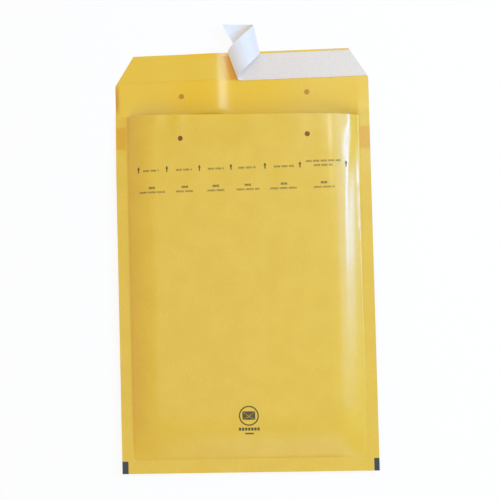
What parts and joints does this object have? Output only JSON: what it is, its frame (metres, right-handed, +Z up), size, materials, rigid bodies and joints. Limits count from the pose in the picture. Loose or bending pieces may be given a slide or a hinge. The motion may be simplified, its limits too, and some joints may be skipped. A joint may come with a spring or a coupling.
{
  "type": "padded envelope",
  "caption": "Golden kraft padded envelope with a bubble film lining, its flap open and the release strip of its adhesive band half peeled into a curl.",
  "frame": {"origin": "middle of the pocket's back face, on the surface that the envelope lies on", "axes": "+X across the envelope, +Y from the bottom fold towards the flap, +Z up from the back towards the front"},
  "size_m": [0.198, 0.3462, 0.0164],
  "materials": {
    "golden_kraft": "satin",
    "bubble_film": "gloss",
    "hot_melt_adhesive": "gloss",
    "release_paper": "satin"
  },
  "bodies": {
    "root": {"kraft_sheet": "golden_kraft", "bubble_liner": "bubble_film", "adhesive_strip": "hot_melt_adhesive", "release_strip": "release_paper"}
  },
  "joints": []
}
